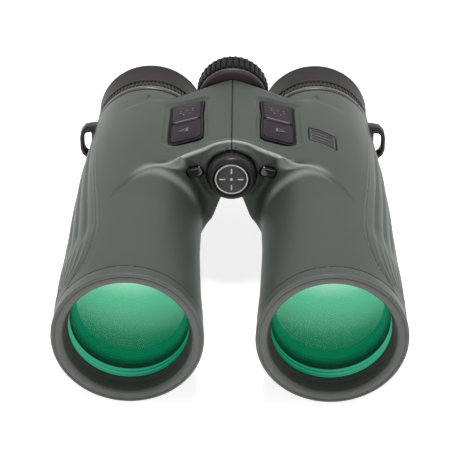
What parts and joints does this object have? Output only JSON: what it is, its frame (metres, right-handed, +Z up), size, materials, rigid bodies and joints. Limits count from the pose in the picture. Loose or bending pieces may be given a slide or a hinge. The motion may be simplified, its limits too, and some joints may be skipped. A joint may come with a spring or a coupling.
{
  "type": "rangefinding binoculars",
  "caption": "Hand-held roof-prism laser rangefinding binoculars with rubber armour, folding hinge, focusing wheel, twist-up eyecups and keypads.",
  "frame": {"origin": "middle of the footprint, on the surface that the opened pair lies on", "axes": "+X to the user's right, +Y from the objectives to the eyecups, +Z up, away from the underside"},
  "size_m": [0.1324, 0.183, 0.0627],
  "materials": {
    "chassis": "fibre-filled chassis, satin black",
    "armour": "fine-textured green rubber",
    "rim": "satin grey-green rim",
    "inner_tube": "matt brown-black",
    "coated_glass": "green anti-reflection coating",
    "glass": "polished",
    "black_plastic": "matt",
    "eyepiece": "satin black",
    "eyecup_rubber": "dark brown-black rubber",
    "lug": "satin black",
    "key": "dark aubergine soft-touch",
    "window": "gloss black",
    "steel": "machined",
    "brass": "machined",
    "wheel_metal": "anodised dark grey",
    "cap": "satin black",
    "medallion": "black enamel with a pale ring",
    "gasket": "matt",
    "badge": "dark plate",
    "battery": "plain wrapper",
    "board": "solder mask"
  },
  "bodies": {
    "left_half": {"left_housing": "chassis", "left_armour": "armour", "left_rim_ring": "rim", "left_objective_tube": "inner_tube", "left_objective_lens": "coated_glass", "left_objective_rear_lens": "glass", "left_prism_frame": "black_plastic", "left_penta_prism": "glass", "left_roof_prism": "glass", "left_eyepiece_tube": "eyepiece", "left_field_lens": "glass", "left_eye_lens": "glass", "left_strap_lug": "lug", "left_key_frame": "key", "left_front_window": "window", "laser_receiver": "steel", "battery": "battery", "battery_hatch": "armour", "hinge_shaft": "steel"},
    "right_half": {"right_housing": "chassis", "right_armour": "armour", "right_rim_ring": "rim", "right_objective_tube": "inner_tube", "right_objective_lens": "coated_glass", "right_objective_rear_lens": "glass", "right_prism_frame": "black_plastic", "right_penta_prism": "glass", "right_roof_prism": "glass", "right_eyepiece_tube": "eyepiece", "right_eye_lens": "glass", "right_strap_lug": "lug", "right_key_frame": "key", "right_front_window": "window", "laser_emitter": "steel", "circuit_board": "board", "display_module": "black_plastic", "badge_plate": "badge"},
    "focus_wheel": {"focus_wheel_core": "wheel_metal", "focus_wheel_grip": "eyecup_rubber", "focus_screw": "steel"},
    "focus_carriage": {"focus_carriage": "brass"},
    "left_focus_cell": {"left_focus_cell": "black_plastic", "left_focus_lens": "glass"},
    "right_focus_cell": {"right_focus_cell": "black_plastic", "right_focus_lens": "glass"},
    "diopter_ring": {"diopter_ring": "eyepiece"},
    "diopter_lens": {"right_field_lens": "glass"},
    "cap_ring": {"cap_gasket": "gasket"},
    "hinge_cap": {"hinge_cap": "cap", "cap_medallion": "medallion"},
    "left_eyecup_band": {"left_eyecup_band": "eyepiece"},
    "left_eyecup": {"left_eyecup_core": "eyepiece", "left_eyecup_rubber": "eyecup_rubber"},
    "left_rear_key": {"left_rear_key": "key"},
    "left_front_key": {"left_front_key": "key"},
    "right_eyecup_band": {"right_eyecup_band": "eyepiece"},
    "right_eyecup": {"right_eyecup_core": "eyepiece", "right_eyecup_rubber": "eyecup_rubber"},
    "right_rear_key": {"right_rear_key": "key"},
    "right_front_key": {"right_front_key": "key"}
  },
  "joints": [
    {"name": "interpupillary_fold", "type": "hinge", "parent": "left_half", "child": "right_half", "pos_m": [0, 0.0275, 0.0474], "axis": [0, 1, 0], "range_deg": [0, 38]},
    {"name": "focus_turn", "type": "hinge", "parent": "left_half", "child": "focus_wheel", "pos_m": [0, 0.0675, 0.0474], "axis": [0, 1, 0], "range_deg": [-270, 270]},
    {"name": "carriage_travel", "type": "slide", "parent": "left_half", "child": "focus_carriage", "axis": [0, 1, 0], "range_m": [-0.0031, 0.0031]},
    {"name": "left_cell_travel", "type": "slide", "parent": "left_half", "child": "left_focus_cell", "axis": [0, 1, 0], "range_m": [-0.0026, 0.0026]},
    {"name": "right_cell_travel", "type": "slide", "parent": "right_half", "child": "right_focus_cell", "axis": [0, 1, 0], "range_m": [-0.0026, 0.0026]},
    {"name": "diopter_turn", "type": "hinge", "parent": "right_half", "child": "diopter_ring", "pos_m": [0.0365, 0.0678, 0.0274], "axis": [0, 1, 0], "range_deg": [-40, 40]},
    {"name": "diopter_travel", "type": "slide", "parent": "right_half", "child": "diopter_lens", "axis": [0, 1, 0], "range_m": [-0.0011, 0.0011]},
    {"name": "cap_pull", "type": "slide", "parent": "left_half", "child": "cap_ring", "axis": [0, -1, 0], "range_m": [0, 0.06]},
    {"name": "cap_turn", "type": "hinge", "parent": "cap_ring", "child": "hinge_cap", "pos_m": [0, -0.0065, 0.0474], "axis": [0, -1, 0], "range_deg": [0, 1080]},
    {"name": "left_eyecup_turn", "type": "hinge", "parent": "left_half", "child": "left_eyecup_band", "pos_m": [-0.0365, 0.0715, 0.0274], "axis": [0, 1, 0], "range_deg": [0, 110]},
    {"name": "left_eyecup_lift", "type": "slide", "parent": "left_eyecup_band", "child": "left_eyecup", "axis": [0, 1, 0], "range_m": [0, 0.0076]},
    {"name": "left_rear_key_press", "type": "slide", "parent": "left_half", "child": "left_rear_key", "axis": [0.2756, 0, -0.9613], "range_m": [0, 0.0006], "stiffness_N_per_m": 1500, "springref_m": -0.0004},
    {"name": "left_front_key_press", "type": "slide", "parent": "left_half", "child": "left_front_key", "axis": [0.2756, 0, -0.9613], "range_m": [0, 0.0006], "stiffness_N_per_m": 1500, "springref_m": -0.0004},
    {"name": "right_eyecup_turn", "type": "hinge", "parent": "right_half", "child": "right_eyecup_band", "pos_m": [0.0365, 0.0715, 0.0274], "axis": [0, 1, 0], "range_deg": [0, 110]},
    {"name": "right_eyecup_lift", "type": "slide", "parent": "right_eyecup_band", "child": "right_eyecup", "axis": [0, 1, 0], "range_m": [0, 0.0076]},
    {"name": "right_rear_key_press", "type": "slide", "parent": "right_half", "child": "right_rear_key", "axis": [-0.2756, 0, -0.9613], "range_m": [0, 0.0006], "stiffness_N_per_m": 1500, "springref_m": -0.0004},
    {"name": "right_front_key_press", "type": "slide", "parent": "right_half", "child": "right_front_key", "axis": [-0.2756, 0, -0.9613], "range_m": [0, 0.0006], "stiffness_N_per_m": 1500, "springref_m": -0.0004}
  ],
  "couplings": [
    {"joint": "carriage_travel", "follows": "focus_turn", "m_per_rad": 0.00063662},
    {"joint": "left_cell_travel", "follows": "focus_turn", "m_per_rad": 0.00053052},
    {"joint": "right_cell_travel", "follows": "focus_turn", "m_per_rad": 0.00053052},
    {"joint": "diopter_travel", "follows": "diopter_turn", "m_per_rad": 0.0014324},
    {"joint": "left_eyecup_lift", "follows": "left_eyecup_turn", "m_per_rad": 0.0039065},
    {"joint": "right_eyecup_lift", "follows": "right_eyecup_turn", "m_per_rad": 0.0039065}
  ]
}
